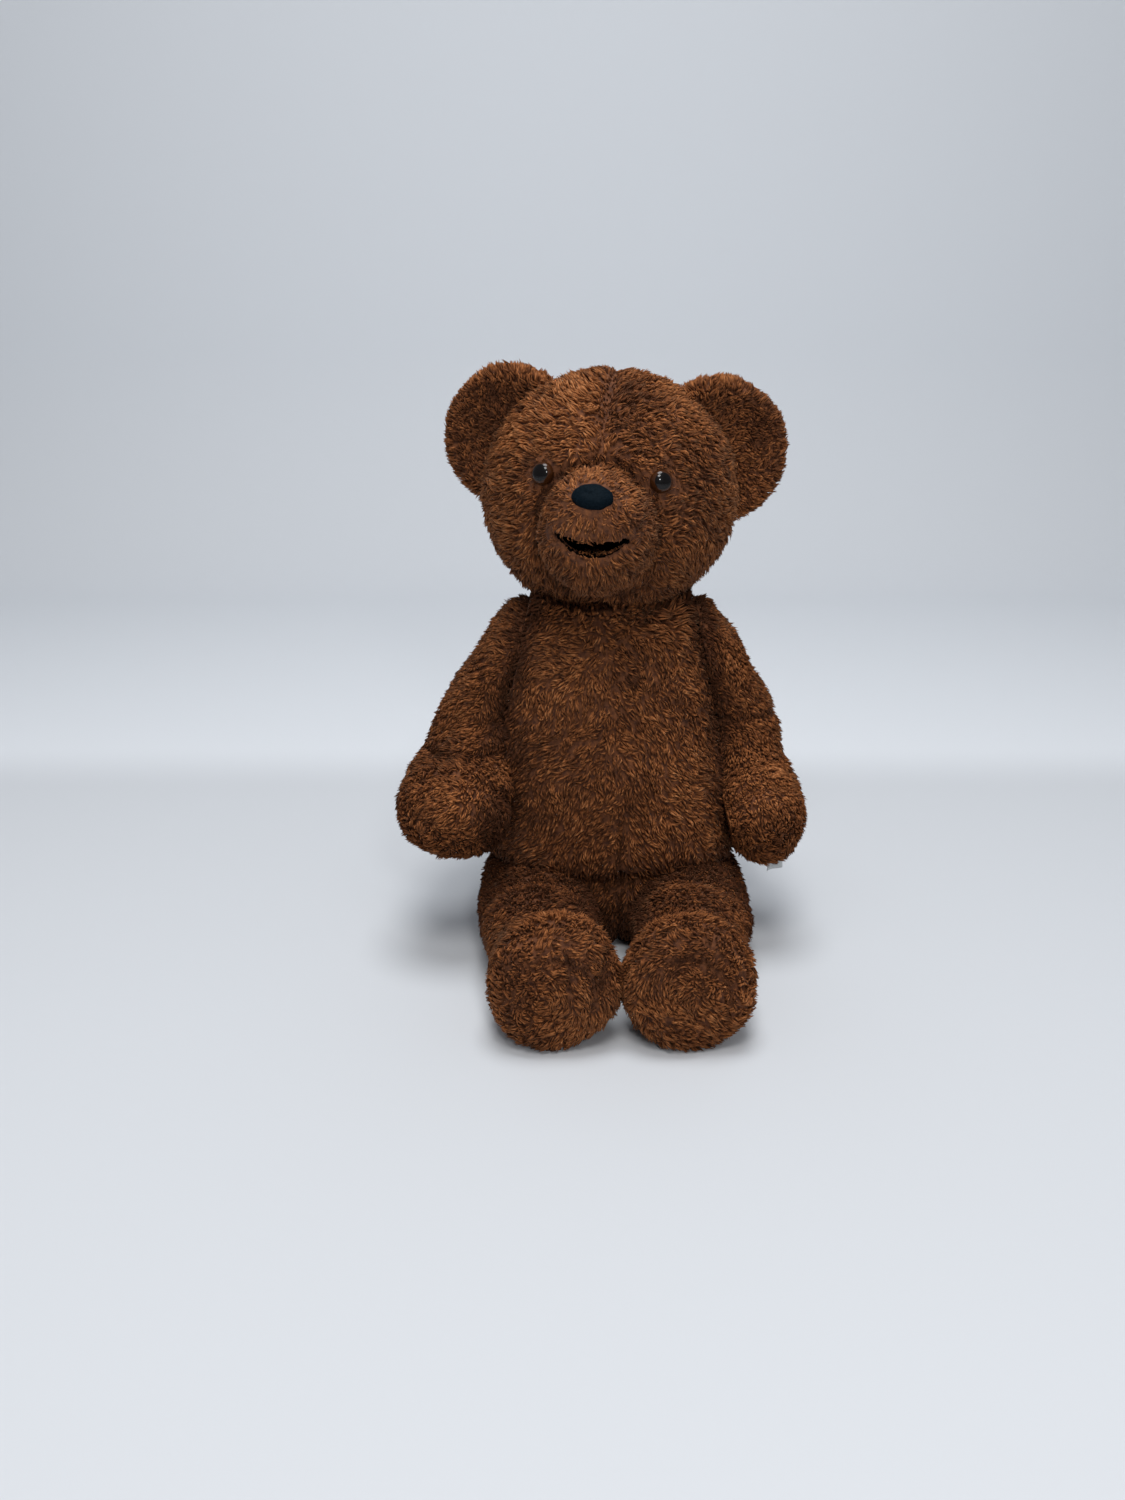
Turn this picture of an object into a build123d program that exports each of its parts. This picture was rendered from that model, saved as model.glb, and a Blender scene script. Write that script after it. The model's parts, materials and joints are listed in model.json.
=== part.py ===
from build123d import *
from math import cos, radians, sin
import os

os.makedirs("parts", exist_ok=True)

# Jointed plush teddy bear, seated, in millimetres.
# +Z is up, the bear faces -Y and its left side is +X. The origin is on the floor under the hips.
# Head, arms and legs turn on disc joints: two fibreboard discs clamped through the cloth by a cotter pin.
# Every limb is made in the frame of its own joint: Z points out of the torso along the joint's axis.

# Cloth, clearances and joint hardware
FABRIC = 1.8
GAP = 0.4
STUFFING_GAP = 0.3
FIT = 0.05
DISC_THICKNESS = 2.5
WASHER_THICKNESS = 1.0
WASHER_RADIUS = 7.0
PIN_RADIUS = 1.6
CLOTH_HOLE_RADIUS = 2.2
EYE_RING_RADIUS = 2.3
EYE_WIRE_RADIUS = 1.0
LEG_WIRE_RADIUS = 0.9
CURL_RADIUS = 2.6
CURL_ANGLE = 220
HARDWARE_RADIUS = 8.0
NECK_DISC_RADIUS = 20.0
SHOULDER_DISC_RADIUS = 14.0
HIP_DISC_RADIUS = 18.0

# Where the joints sit, and how the torso leans to its right above the hips
LEAN = 6.0
LEAN_START = 50.0
LEAN_END = 150.0
NECK_Z = 175.0
NECK_Y = 2.0
NECK_ROLL = 3.2
HEAD_TURN = -6.8
SHOULDER_X = {"left": 50.0, "right": 41.0}
SHOULDER_Z = 149.0
SHOULDER_TILT = {"left": 13.0, "right": 15.0}
ARM_SWING = {"left": 0.0, "right": 8.0}
ARM_FULLNESS = {"left": 0.96, "right": 1.03}
HIP_X = 26.0
HIP_Z = 23.0
OVERHANG_Z = 47.0
SWING_RADIUS = 50.0
SIDES = {"left": 1, "right": -1}

# Torso outline: height, half width, half depth, middle's depth
TORSO_RINGS = (
    (0, 30, 26, 2),
    (6, 45, 38, 1),
    (20, 58, 46, 0),
    (42, 66, 50, -1),
    (62, 66.5, 51, -1),
    (85, 63, 50, 0),
    (110, 59, 47, 1),
    (135, 56.5, 43, 2),
    (160, 51.5, 38, 2),
    (173, 46, 32, 2),
    (179, 37, 25, 2),
)
TORSO_MIDDLE_Z = 89.0

# Head: an ellipsoid cut flat at the neck, with a muzzle
HEAD_SIZE = (59.5, 54.0, 56.5)
HEAD_MIDDLE_Z = 50.0
HEAD_RING_ANGLES = (-63, -45, -25, 0, 25, 45, 62, 75, 84)
# Muzzle outline: distance forward, height, half width, half height
MUZZLE_RINGS = (
    (30, 39, 28, 30),
    (46, 39, 26.5, 28),
    (58, 39.5, 23.5, 25.5),
    (67, 40.5, 20, 21.5),
    (73.5, 42, 15, 15.5),
    (77, 43.5, 8, 8),
)
MUZZLE_MIDDLE = (30, 40)

# Face and ears, in the head's frame
EYE_PLACE = (24.8, -47.7, 62.0)
EYE_DIRECTION = (0.33, -0.92, 0.17)
EYE_RADIUS = 5.0
EYE_BULGE = 3.2
EYE_SINK = 0.6
PUPIL_RADIUS = 3.2
PUPIL_THICKNESS = 1.0
SHANK_RADIUS = 1.5
SHANK_LENGTH = 11.0
EYE_WASHER_RADIUS = 6.0
NOSE_PLACE = (0, -73.6, 56.5)
NOSE_RISE = 38.0
NOSE_SIZE = (8.6, 6.2)
NOSE_PROUD = 3.4
NOSE_ROOT = 5.0
MOUTH_HALF_WIDTH = 18.5
MOUTH_CORNER_Z = 42.0
MOUTH_LIP_Z = 38.0
MOUTH_LOW_Z = 29.5
MOUTH_BACK_Y = -58.0
MOUTH_FRONT_Y = -95.0
FELT = 1.2
EAR_RADIUS = 32.0
EAR_THICKNESS = 9.0
EAR_REACH = 56.0
EAR_ANGLE = 65.0
EAR_Y = 5.0
EAR_TOE_IN = 10.0
EAR_EDGE = 3.8

# Arm: down, forward, heading in degrees from down to forward, half width, middle and half thickness
ARM_RINGS = (
    (-23, 0, 0, 5, 1, 4.5),
    (-20, 0, 0, 11, 1.5, 6.5),
    (-13, 0, 0, 17, 2.5, 9),
    (-3, 0, 0, 19.5, 4, 11.5),
    (10, 0, 0, 20, 6.5, 13.5),
    (28, 0, 4, 19, 10.5, 15.5),
    (50, 3, 15, 18.5, 14, 16.5),
    (68, 11, 35, 20, 15.5, 17),
    (79, 25, 55, 20.5, 15.5, 17.5),
    (85, 38, 66, 19, 15, 16.5),
    (89, 47, 68, 13.5, 14.5, 11.5),
    (91, 51.5, 68, 7.5, 14.5, 6),
)

# Leg: forward, middle and half thickness, middle's drop and half height
LEG_RINGS = (
    (-22.5, 15, 8, 0, 6),
    (-19.5, 15, 15, 0, 12.5),
    (-12, 14, 22.5, 0, 18.8),
    (0, 12.5, 27, 0, 21.7),
    (20, 12, 28, 0, 22),
    (45, 11.5, 28, 0, 22.3),
    (70, 9.5, 26.5, -0.7, 22.7),
    (95, 6.5, 24.5, -1.7, 23.3),
    (110, 4.5, 24.5, -3, 24.7),
    (121, 3.5, 26.5, -5.3, 27.7),
    (132, 3, 26.5, -5.3, 27.7),
    (138, 3, 21.5, -5.3, 23),
    (140.5, 3, 13, -5.3, 14),
)
SOLE_START = 129.0

# Care label in the left arm's seam
LABEL_PLACE = (104.0, -24.0, 18.0)
LABEL_SIZE = (15.0, 10.0, 0.4)

SMALL = 200.0  # larger than any half of the bear, for cutting blocks


def lean(height):
    """How far the torso's middle stands to the bear's right at a height."""
    return -LEAN * min(max((height - LEAN_START) / (LEAN_END - LEAN_START), 0), 1)


def neck_frame():
    roll, turn = radians(NECK_ROLL), radians(HEAD_TURN)
    return Plane(
        origin=(lean(NECK_Z), NECK_Y, NECK_Z),
        x_dir=(cos(turn), sin(turn), 0),
        z_dir=(sin(roll), 0, cos(roll)),
    )


def shoulder_frame(side):
    """Z points outward, X down along the upper arm."""
    sign, tilt, swing = SIDES[side], radians(SHOULDER_TILT[side]), radians(ARM_SWING[side])
    return Plane(
        origin=(lean(SHOULDER_Z) + sign * SHOULDER_X[side], 0, SHOULDER_Z),
        x_dir=(sign * sin(tilt) * cos(swing), -sin(swing), -cos(tilt) * cos(swing)),
        z_dir=(sign * cos(tilt), 0, sin(tilt)),
    )


def hip_frame(side):
    """Z points outward, X forward along the leg."""
    return Plane(origin=(SIDES[side] * HIP_X, 0, HIP_Z), x_dir=(0, -1, 0), z_dir=(SIDES[side], 0, 0))


def save(name, part):
    """Labels a finished piece and writes it."""
    part.label = name
    export_step(part, f"parts/{name}.step")


def place(local_part, frame, side="left"):
    """Moves a limb's piece from its joint's frame to the bear, mirrored for the right side."""
    if side == "right":
        local_part = local_part.mirror(Plane.XZ)
    return local_part.moved(frame.location)


def loft_rings(rings):
    """A closed form through ellipses: each ring is its plane and two half sizes."""
    with BuildPart() as form:
        for plane, half_x, half_y in rings:
            with BuildSketch(plane):
                Ellipse(half_x, half_y)
        loft()
    return form.part


def cylinder(radius, low, high):
    """A plain round solid on the joint's axis, from low to high."""
    with BuildPart() as solid:
        with BuildSketch(Plane.XY.offset(low)):
            Circle(radius)
        extrude(amount=high - low)
    return solid.part


# ---------------------------------------------------------------- forms


def torso_form(inset):
    """The torso's outside, or the same form inset by a wall."""
    scale_z = 1 - inset / TORSO_MIDDLE_Z
    widest, deepest = max(r[1] for r in TORSO_RINGS), max(r[2] for r in TORSO_RINGS)
    rings = []
    for height, half_width, half_depth, middle_y in TORSO_RINGS:
        z = TORSO_MIDDLE_Z + (height - TORSO_MIDDLE_Z) * scale_z
        plane = Plane(origin=(lean(height), middle_y, z))
        rings.append((plane, half_width * (1 - inset / widest), half_depth * (1 - inset / deepest)))
    face = GAP / 2 + inset
    core_half_width = HIP_X - face
    overhang = OVERHANG_Z + inset
    with BuildPart() as form:
        add(loft_rings(rings))
        split(bisect_by=neck_frame().offset(-face), keep=Keep.BOTTOM)
        for side in SIDES:
            split(bisect_by=shoulder_frame(side).offset(-face), keep=Keep.BOTTOM)
            with Locations((SIDES[side] * (core_half_width + SMALL / 2), 0, overhang - SMALL / 2)):
                Box(SMALL, SMALL, SMALL, mode=Mode.SUBTRACT)
        with BuildSketch(Plane.YZ.offset(-SMALL / 2)):
            with Locations((0, overhang - SMALL / 2)):
                Rectangle(SMALL, SMALL)
            with Locations((0, HIP_Z)):
                Circle(SWING_RADIUS - inset, mode=Mode.SUBTRACT)
        extrude(amount=SMALL, mode=Mode.SUBTRACT)
    return form.part


def head_form(inset):
    """The head with its muzzle, in the neck's frame."""
    half_x, half_y, half_z = (half - inset for half in HEAD_SIZE)
    rings = []
    for angle in HEAD_RING_ANGLES:
        z = HEAD_MIDDLE_Z + half_z * sin(radians(angle))
        shrink = cos(radians(angle))
        rings.append((Plane.XY.offset(z), half_x * shrink, half_y * shrink))
    reach = MUZZLE_RINGS[-1][0] - MUZZLE_RINGS[0][0]
    muzzle_rings = []
    for forward, height, half_width, half_height in MUZZLE_RINGS:
        y = -MUZZLE_MIDDLE[0] - (forward - MUZZLE_MIDDLE[0]) * (1 - inset / reach)
        plane = Plane(origin=(0, y, height), x_dir=(1, 0, 0), z_dir=(0, -1, 0))
        shrink = 1 - inset / MUZZLE_RINGS[0][2]
        muzzle_rings.append((plane, half_width * shrink, half_height * shrink))
    with BuildPart() as form:
        add(loft_rings(rings))
        add(loft_rings(muzzle_rings))
        split(bisect_by=Plane.XY.offset(GAP / 2 + inset), keep=Keep.TOP)
    return form.part


def arm_form(inset, side):
    """An arm in the shoulder's frame, made as a left one: X down, -Y forward, Z outward."""
    rings = []
    last = len(ARM_RINGS) - 1
    fullness = ARM_FULLNESS[side]
    for i, (down, forward, heading, half_width, middle, half_thickness) in enumerate(ARM_RINGS):
        angle = radians(heading)
        end_shift = inset if i == 0 else -inset if i == last else 0
        plane = Plane(
            origin=(down + end_shift * cos(angle), -forward - end_shift * sin(angle), middle * fullness),
            x_dir=(0, 0, 1),
            z_dir=(cos(angle), -sin(angle), 0),
        )
        shrink = 1 - inset / max(r[3] for r in ARM_RINGS)
        rings.append((plane, half_thickness * fullness * shrink, half_width * shrink))
    with BuildPart() as form:
        add(loft_rings(rings))
        add(cylinder(SMALL, -SMALL, GAP / 2 + inset), mode=Mode.SUBTRACT)
    return form.part


def leg_form(inset):
    """The left leg in the hip's frame: X forward, Y down, Z outward."""
    rings = []
    last = len(LEG_RINGS) - 1
    for i, (forward, middle, half_thickness, drop, half_height) in enumerate(LEG_RINGS):
        end_shift = inset if i == 0 else -inset if i == last else 0
        plane = Plane(origin=(forward + end_shift, drop, middle), x_dir=(0, 0, 1), z_dir=(1, 0, 0))
        shrink = 1 - inset / max(r[2] for r in LEG_RINGS)
        rings.append((plane, half_thickness * shrink, half_height * shrink))
    with BuildPart() as form:
        add(loft_rings(rings))
        add(cylinder(SWING_RADIUS + GAP + inset, -SMALL, GAP / 2 + inset), mode=Mode.SUBTRACT)
    return form.part


# ---------------------------------------------------------------- joint hardware, in a joint's frame

DISC_LOW = GAP / 2 + FABRIC + FIT
DISC_HIGH = DISC_LOW + DISC_THICKNESS
WASHER_LOW = DISC_HIGH + FIT
WASHER_HIGH = WASHER_LOW + WASHER_THICKNESS
EYE_RING_MIDDLE = WASHER_HIGH + FIT + EYE_RING_RADIUS + EYE_WIRE_RADIUS
CURL_MIDDLE = -(WASHER_HIGH + FIT + CURL_RADIUS)
POCKET_DEPTH = EYE_RING_MIDDLE + EYE_RING_RADIUS + EYE_WIRE_RADIUS + STUFFING_GAP


def ring_plate(radius, low, thickness):
    """A flat disc with a hole for the cotter pin."""
    with BuildPart() as plate:
        with BuildSketch(Plane.XY.offset(low)):
            Circle(radius)
            Circle(PIN_RADIUS + FIT, mode=Mode.SUBTRACT)
        extrude(amount=thickness)
        chamfer(plate.edges().filter_by(GeomType.CIRCLE), length=WASHER_THICKNESS / 5)
    return plate.part


def cotter_pin():
    """A split pin: an eye on the limb's side, and two legs curled back on the torso's side."""
    with BuildPart() as pin:
        with BuildSketch(Plane.XY.offset(CURL_MIDDLE)):
            Circle(PIN_RADIUS)
        extrude(amount=EYE_RING_MIDDLE - EYE_RING_RADIUS - CURL_MIDDLE)
        with BuildSketch(Plane.XY.offset(EYE_RING_MIDDLE)):
            with Locations((EYE_RING_RADIUS, 0)):
                Circle(EYE_WIRE_RADIUS)
        revolve(axis=Axis((0, 0, EYE_RING_MIDDLE), (0, 1, 0)))
        for sign in (1, -1):
            start = sign * (PIN_RADIUS - LEG_WIRE_RADIUS)
            with BuildSketch(Plane.XY.offset(CURL_MIDDLE)):
                with Locations((start, 0)):
                    Circle(LEG_WIRE_RADIUS)
            curl_axis = Axis((start + sign * CURL_RADIUS, 0, CURL_MIDDLE), (0, -sign, 0))
            revolve(axis=curl_axis, revolution_arc=CURL_ANGLE)
    return pin.part


def pocket(disc_radius):
    """The room that one side of a disc joint needs inside the stuffing."""
    with BuildPart() as room:
        with BuildSketch():
            Circle(disc_radius + STUFFING_GAP)
        extrude(amount=WASHER_LOW)
        with BuildSketch():
            Circle(HARDWARE_RADIUS)
        extrude(amount=POCKET_DEPTH)
    return room.part


def limb_hardware(joint, disc_radius, frame):
    """The discs, washers and pin of one joint. The first two turn with the limb, as the pin does."""
    save(f"{joint}_limb_disc", ring_plate(disc_radius, DISC_LOW, DISC_THICKNESS).moved(frame.location))
    save(f"{joint}_limb_washer", ring_plate(WASHER_RADIUS, WASHER_LOW, WASHER_THICKNESS).moved(frame.location))
    save(f"{joint}_body_disc", ring_plate(disc_radius, -DISC_HIGH, DISC_THICKNESS).moved(frame.location))
    save(f"{joint}_body_washer", ring_plate(WASHER_RADIUS, -WASHER_HIGH, WASHER_THICKNESS).moved(frame.location))
    save(f"{joint}_cotter_pin", cotter_pin().moved(frame.location))


def flipped(part):
    """The same piece on the other side of a joint's plane."""
    return part.mirror(Plane.XY)


# ---------------------------------------------------------------- torso

with BuildPart() as torso_skin:
    add(torso_form(0))
    add(torso_form(FABRIC), mode=Mode.SUBTRACT)

with BuildPart() as torso_stuffing:
    add(torso_form(FABRIC + STUFFING_GAP))

JOINTS = {
    "neck": (neck_frame(), NECK_DISC_RADIUS),
    "left_shoulder": (shoulder_frame("left"), SHOULDER_DISC_RADIUS),
    "right_shoulder": (shoulder_frame("right"), SHOULDER_DISC_RADIUS),
    "left_hip": (hip_frame("left"), HIP_DISC_RADIUS),
    "right_hip": (hip_frame("right"), HIP_DISC_RADIUS),
}

for joint_name, (joint_plane, joint_radius) in JOINTS.items():
    pin_hole = cylinder(CLOTH_HOLE_RADIUS, -POCKET_DEPTH, GAP).moved(joint_plane.location)
    torso_skin.part = torso_skin.part - pin_hole
    torso_stuffing.part = torso_stuffing.part - flipped(pocket(joint_radius)).moved(joint_plane.location)
    limb_hardware(joint_name, joint_radius, joint_plane)

save("torso_skin", torso_skin.part)
save("torso_stuffing", torso_stuffing.part)

# ---------------------------------------------------------------- head


def eye_frame(side):
    sign = SIDES[side]
    x, y, z = EYE_PLACE
    across, ahead, up = EYE_DIRECTION
    return Plane(origin=(sign * x, y, z), x_dir=(ahead, -sign * across, 0), z_dir=(sign * across, ahead, up))


def nose_frame():
    rise = radians(NOSE_RISE)
    return Plane(origin=NOSE_PLACE, x_dir=(1, 0, 0), z_dir=(0, -cos(rise), sin(rise)))


def ear_frame(side):
    """Z points forward out of the ear's cupped face, Y up along the ear."""
    sign = SIDES[side]
    angle, toe = radians(EAR_ANGLE), radians(EAR_TOE_IN)
    middle = (sign * EAR_REACH * sin(angle), EAR_Y, HEAD_MIDDLE_Z + EAR_REACH * cos(angle))
    return Plane(origin=middle, x_dir=(cos(toe), sign * sin(toe), 0), z_dir=(sign * sin(toe), -cos(toe), 0))


def mouth_pocket(wall):
    """The open smile, cut straight back into the muzzle, narrower by a wall."""
    half = MOUTH_HALF_WIDTH - wall
    with BuildPart() as smile:
        with BuildSketch(Plane(origin=(0, MOUTH_FRONT_Y, 0), x_dir=(1, 0, 0), z_dir=(0, -1, 0))):
            with BuildLine():
                corners = (-half, MOUTH_CORNER_Z), (half, MOUTH_CORNER_Z)
                ThreePointArc(corners[0], (0, MOUTH_LIP_Z - wall), corners[1])
                ThreePointArc(corners[0], (0, MOUTH_LOW_Z + wall), corners[1])
            make_face()
        extrude(amount=-(MOUTH_BACK_Y - MOUTH_FRONT_Y - wall))
    return smile.part


def eye_room(low, high):
    return cylinder(EYE_RADIUS + FIT, low, high)


with BuildPart() as nose:
    with BuildSketch(nose_frame().offset(-NOSE_ROOT)):
        Ellipse(*NOSE_SIZE)
    extrude(amount=NOSE_ROOT + NOSE_PROUD)
    outward = Axis(nose_frame().origin, nose_frame().z_dir)
    fillet(nose.faces().sort_by(outward)[-1].edges(), radius=NOSE_PROUD * 0.7)
    add(head_form(0), mode=Mode.SUBTRACT)

with BuildPart() as mouth_lining:
    add(mouth_pocket(0))
    add(mouth_pocket(FELT), mode=Mode.SUBTRACT)
    add(head_form(0), mode=Mode.INTERSECT)

with BuildPart() as head_skin:
    add(head_form(0))
    add(head_form(FABRIC), mode=Mode.SUBTRACT)
    add(mouth_pocket(0), mode=Mode.SUBTRACT)
    add(cylinder(CLOTH_HOLE_RADIUS, 0, POCKET_DEPTH), mode=Mode.SUBTRACT)
    for side_name in SIDES:
        eye_place = eye_frame(side_name).location
        add(eye_room(-EYE_SINK, SHANK_LENGTH).moved(eye_place), mode=Mode.SUBTRACT)
        add(cylinder(SHANK_RADIUS + FIT, -SHANK_LENGTH, 0).moved(eye_place), mode=Mode.SUBTRACT)

with BuildPart() as head_stuffing:
    add(head_form(FABRIC + STUFFING_GAP))
    add(pocket(NECK_DISC_RADIUS), mode=Mode.SUBTRACT)
    with Locations((0, MOUTH_FRONT_Y, (MOUTH_CORNER_Z + MOUTH_LOW_Z) / 2)):
        Box(
            2 * (MOUTH_HALF_WIDTH + FELT),
            2 * (MOUTH_BACK_Y - MOUTH_FRONT_Y + FELT),
            MOUTH_CORNER_Z - MOUTH_LOW_Z + 2 * FELT,
            mode=Mode.SUBTRACT,
        )
    for side_name in SIDES:
        room = cylinder(EYE_WASHER_RADIUS + STUFFING_GAP, -SHANK_LENGTH - STUFFING_GAP, SHANK_LENGTH)
        add(room.moved(eye_frame(side_name).location), mode=Mode.SUBTRACT)

head_place = neck_frame().location
for piece_name, piece in (
    ("nose", nose),
    ("mouth_lining", mouth_lining),
    ("head_skin", head_skin),
    ("head_stuffing", head_stuffing),
):
    save(piece_name, piece.part.moved(head_place))

with BuildPart() as eye_pupil:
    with BuildSketch(Plane.XY.offset(-EYE_SINK)):
        Circle(PUPIL_RADIUS)
    extrude(amount=PUPIL_THICKNESS)
    with BuildSketch(Plane.XY.offset(-EYE_SINK)):
        Circle(SHANK_RADIUS)
    extrude(amount=EYE_SINK - SHANK_LENGTH)

with BuildPart() as eye_lens:
    with BuildSketch(Plane.XZ):
        with BuildLine():
            Line((0, -EYE_SINK), (EYE_RADIUS, -EYE_SINK))
            Line((EYE_RADIUS, -EYE_SINK), (EYE_RADIUS, 0))
            TangentArc((0, EYE_BULGE), (EYE_RADIUS, 0), tangent=(1, 0))
            Line((0, EYE_BULGE), (0, -EYE_SINK))
        make_face()
    revolve(axis=Axis.Z)
    with BuildSketch(Plane.XY.offset(-EYE_SINK)):
        Circle(PUPIL_RADIUS)
    extrude(amount=PUPIL_THICKNESS, mode=Mode.SUBTRACT)

with BuildPart() as eye_washer:
    with BuildSketch(Plane.XY.offset(-FABRIC - WASHER_THICKNESS - 2 * EYE_SINK)):
        Circle(EYE_WASHER_RADIUS)
        Circle(SHANK_RADIUS, mode=Mode.SUBTRACT)
    extrude(amount=WASHER_THICKNESS)

with BuildPart() as ear_shape:
    with BuildSketch(Plane.XY.offset(-EAR_THICKNESS / 2)):
        Circle(EAR_RADIUS)
    extrude(amount=EAR_THICKNESS)
    fillet(ear_shape.edges(), radius=EAR_EDGE)

head_outside = head_form(0)
for side_name in SIDES:
    eye_place = head_place * eye_frame(side_name).location
    save(f"{side_name}_eye_pupil", eye_pupil.part.moved(eye_place))
    save(f"{side_name}_eye_lens", eye_lens.part.moved(eye_place))
    save(f"{side_name}_eye_washer", eye_washer.part.moved(eye_place))
    with BuildPart() as ear:
        add(ear_shape.part.moved(ear_frame(side_name).location))
        add(head_outside, mode=Mode.SUBTRACT)
    save(f"{side_name}_ear", ear.part.moved(head_place))

# ---------------------------------------------------------------- arms

for side_name in SIDES:
    with BuildPart() as arm_skin:
        add(arm_form(0, side_name))
        add(arm_form(FABRIC, side_name), mode=Mode.SUBTRACT)
        add(cylinder(CLOTH_HOLE_RADIUS, 0, POCKET_DEPTH), mode=Mode.SUBTRACT)
    with BuildPart() as arm_stuffing:
        add(arm_form(FABRIC + STUFFING_GAP, side_name))
        add(pocket(SHOULDER_DISC_RADIUS), mode=Mode.SUBTRACT)
    save(f"{side_name}_arm_skin", place(arm_skin.part, shoulder_frame(side_name), side_name))
    save(f"{side_name}_arm_stuffing", place(arm_stuffing.part, shoulder_frame(side_name), side_name))

with BuildPart() as care_label:
    with Locations(LABEL_PLACE):
        Box(*LABEL_SIZE)
    add(arm_form(0, "left"), mode=Mode.SUBTRACT)
save("care_label", place(care_label.part, shoulder_frame("left")))

# ---------------------------------------------------------------- legs

with BuildPart() as leg_shell:
    add(leg_form(0))
    add(leg_form(FABRIC), mode=Mode.SUBTRACT)
    add(cylinder(CLOTH_HOLE_RADIUS, 0, POCKET_DEPTH), mode=Mode.SUBTRACT)

with BuildPart() as leg_skin:
    add(leg_shell.part)
    split(bisect_by=Plane.YZ.offset(SOLE_START), keep=Keep.BOTTOM)

with BuildPart() as foot_sole:
    add(leg_shell.part)
    split(bisect_by=Plane.YZ.offset(SOLE_START), keep=Keep.TOP)

with BuildPart() as leg_stuffing:
    add(leg_form(FABRIC + STUFFING_GAP))
    add(pocket(HIP_DISC_RADIUS), mode=Mode.SUBTRACT)

for side_name in SIDES:
    for piece_name, piece in (("leg_skin", leg_skin), ("foot_sole", foot_sole), ("leg_stuffing", leg_stuffing)):
        save(f"{side_name}_{piece_name}", place(piece.part, hip_frame(side_name), side_name))
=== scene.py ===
"""A seated, disc-jointed teddy bear in short reddish-brown plush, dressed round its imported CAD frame.

Each soft part is one closed cover taken from its CAD solids, swollen as cloth over its filling (all but the
flat ears), sculpted with its seams and creases, and then grown over with tufts of pile. Lengths are metres.
The bear faces -Y, and its own left is +X.
"""

import json
import math

import bmesh
import bpy
import numpy as np
from mathutils import Matrix, Vector
from mathutils.kdtree import KDTree


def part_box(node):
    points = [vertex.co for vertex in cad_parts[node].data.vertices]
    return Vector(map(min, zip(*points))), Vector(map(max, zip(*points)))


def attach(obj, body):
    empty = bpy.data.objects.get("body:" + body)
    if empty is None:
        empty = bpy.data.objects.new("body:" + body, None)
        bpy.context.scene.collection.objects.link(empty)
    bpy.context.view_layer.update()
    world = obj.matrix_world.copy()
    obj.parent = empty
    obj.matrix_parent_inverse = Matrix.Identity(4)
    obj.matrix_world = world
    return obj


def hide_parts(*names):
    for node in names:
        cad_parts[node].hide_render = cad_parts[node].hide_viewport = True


MM = 0.001
VOXEL = 1.5 * MM
CLOTH_VOXEL = 4.5 * MM
CLOTH_FRAMES = 15
WAVES = 7
SIDES = {"left": 1, "right": -1}

# The camera: where it stands, how far it looks down, and its upright angle of view.
CAMERA_PLACE = (-0.0258, -0.60, 0.289)
CAMERA_DOWN = math.radians(18)
CAMERA_HALF_HEIGHT = 750 / 1213

# The paper it sits on: its colour in front and behind, painted darker in front and lighter behind for the fall
# of light across the sweep, and how far back the change is.
PAPER_FRONT = (0.655, 0.675, 0.705)
PAPER_BACK = (0.79, 0.815, 0.85)
PAPER_BREAK = 0.25

# The plush: its tufts' size, the shortest of them as a share of that, and how they draw together in clumps.
TUFT_LENGTH = 4.3 * MM
TUFT_RADIUS = 0.62 * MM
SHORTEST_TUFT = 0.25
CLUMP_TUFTS = 7
CLUMP_PULL = 0.5
CLUMP_REACH = 9 * MM

# How many tufts each piece carries.
HEAD_TUFTS = 20500
EAR_TUFTS = 5200
TORSO_TUFTS = 24000
ARM_TUFTS = 13500
LEG_TUFTS = 18500

# Its colours, from the darkest, used for painted shade at roots and in creases, to the lightest, used for
# painted highlights and lighter tufts.
PILE_COLOURS = (
    (0.060, 0.018, 0.006),
    (0.125, 0.040, 0.013),
    (0.200, 0.067, 0.021),
    (0.280, 0.098, 0.031),
    (0.370, 0.136, 0.045),
    (0.460, 0.185, 0.068),
)

# Joint faces: how far a cover stays behind its joint's plane, and how far its fur may cross it.
FACE_GAP = 0.2 * MM
FUR_CROSSING = 1.5 * MM
FACE_THICKNESS = 2.2 * MM

# The face: the eyes stand a little further out than the CAD's lenses, and the nose lower and to the right.
EYE_OUTWARD = 1.8 * MM
EYE_RADIUS = 5.3 * MM
EYE_RISE = 3.9 * MM
NOSE_SHIFT = (-1.2 * MM, 0.4 * MM, -2.2 * MM)
NOSE_HALF_WIDTH = 9.1 * MM
NOSE_HALF_HEIGHT = 6.1 * MM
NOSE_RISE = 4.0 * MM
MOUTH_HALF = 18.5 * MM
MUZZLE_RADIUS = 27 * MM
EAR_RADIUS = 32 * MM
EAR_TONE = {"left": -0.05, "right": -0.4}

# The torso: its seam's distance from the middle, the step from the hips up to the belly's underside, half the
# width of what is left between the thighs, and how far the shade beside each arm widens towards the paw.
SEAM_SHIFT = 3 * MM
BELLY_OVER_HIP = 24 * MM
CORE_HALF_WIDTH = 26.6 * MM
ARM_SHADE_SPREADS = (5 * MM, 13 * MM)

# The arms: the heights of the sewn dart and of the right arm's wrist fold, and what differs between the two.
DART_HEIGHT = 117 * MM
WRIST_HEIGHT = 101 * MM
ARM_LOOKS = {
    "left": {
        "hug": 3.0 * MM,
        "wider": 0.06,
        "plump": 1.4 * MM,
        "fold_depth": 2.4 * MM,
        "tone": -0.15,
        "wrist": 0.0,
        "dart_depth": 1.0,
        "dart_shade": 1.0,
    },
    "right": {
        "hug": 5.0 * MM,
        "wider": 0.42,
        "plump": 2.5 * MM,
        "fold_depth": 4.0 * MM,
        "tone": -0.35,
        "wrist": 1.0,
        "dart_depth": 0.35,
        "dart_shade": 0.3,
    },
}

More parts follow.
